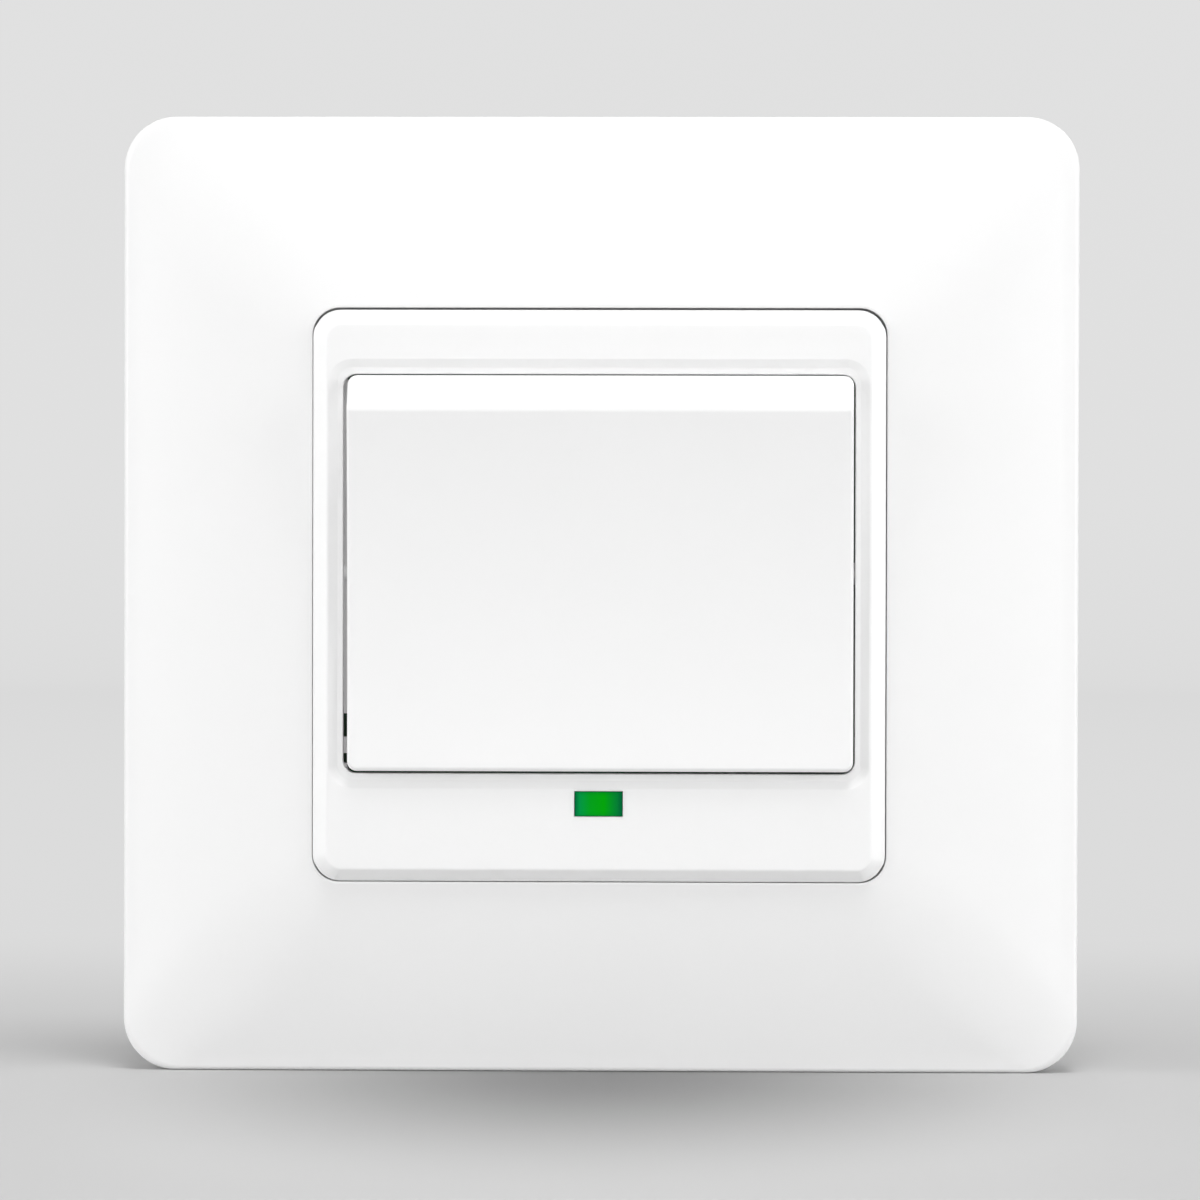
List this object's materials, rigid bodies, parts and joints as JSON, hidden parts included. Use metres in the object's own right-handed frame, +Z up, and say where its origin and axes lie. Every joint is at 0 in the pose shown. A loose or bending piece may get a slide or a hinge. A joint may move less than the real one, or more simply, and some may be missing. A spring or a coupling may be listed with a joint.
{
  "type": "wireless remote wall switch",
  "caption": "Square flat wall switch with a pillowed cover frame, a bevelled insert, one wide tilting rocker and a small green indicator window.",
  "frame": {"origin": "middle of the face that lies on the wall", "axes": "+X to the right seen from the front, +Z up the wall, +Y into the wall; the front looks along -Y"},
  "size_m": [0.086, 0.0145, 0.086],
  "materials": {
    "white_frame": "satin moulded, very fine grain",
    "white_face": "satin moulded",
    "white_rocker": "smooth satin moulded",
    "white_case": "matt moulded",
    "foam_tape": "soft foam",
    "board_green": "solder mask",
    "cell_steel": "fine turned steel",
    "spring_steel": "nickel-plated spring strip",
    "switch_black": "moulded",
    "silicone": "soft matt silicone",
    "lens_green": "clear green, polished",
    "led_body": "clear resin",
    "chip_black": "moulded epoxy",
    "lid_metal": "plated lid",
    "copper_wire": "enamelled copper",
    "capacitor_tan": "fired ceramic",
    "resistor_black": "glazed film",
    "screw_steel": "zinc plated"
  },
  "bodies": {
    "housing": {"wall_plate": "white_case", "tape_pads": "foam_tape", "cover_frame": "white_frame", "fascia": "white_face", "rear_case": "white_case", "circuit_board": "board_green", "coin_cell": "cell_steel", "negative_contact": "spring_steel", "positive_contact": "spring_steel", "upper_switch": "switch_black", "lower_switch": "switch_black", "upper_switch_stem": "silicone", "lower_switch_stem": "silicone", "indicator_lens": "lens_green", "indicator_led": "led_body", "controller_chip": "chip_black", "resonator_can": "lid_metal", "rf_transistor": "chip_black", "antenna_loop": "copper_wire", "chip_capacitors": "capacitor_tan", "chip_resistors": "resistor_black", "case_screws": "screw_steel"},
    "rocker_body": {"rocker": "white_rocker"},
    "door_body": {"battery_door": "white_case"}
  },
  "joints": [
    {"name": "rocker_tilt", "type": "hinge", "parent": "housing", "child": "rocker_body", "pos_m": [0, -0.009, 0.00195], "axis": [1, 0, 0], "range_deg": [-3, 3], "stiffness_Nm_per_rad": 0.45, "deforming": ["upper_switch_stem", "lower_switch_stem"]},
    {"name": "battery_door_turn", "type": "hinge", "parent": "housing", "child": "door_body", "pos_m": [0, -0.0012, 0], "axis": [0, 1, 0], "range_deg": [0, 40]}
  ]
}
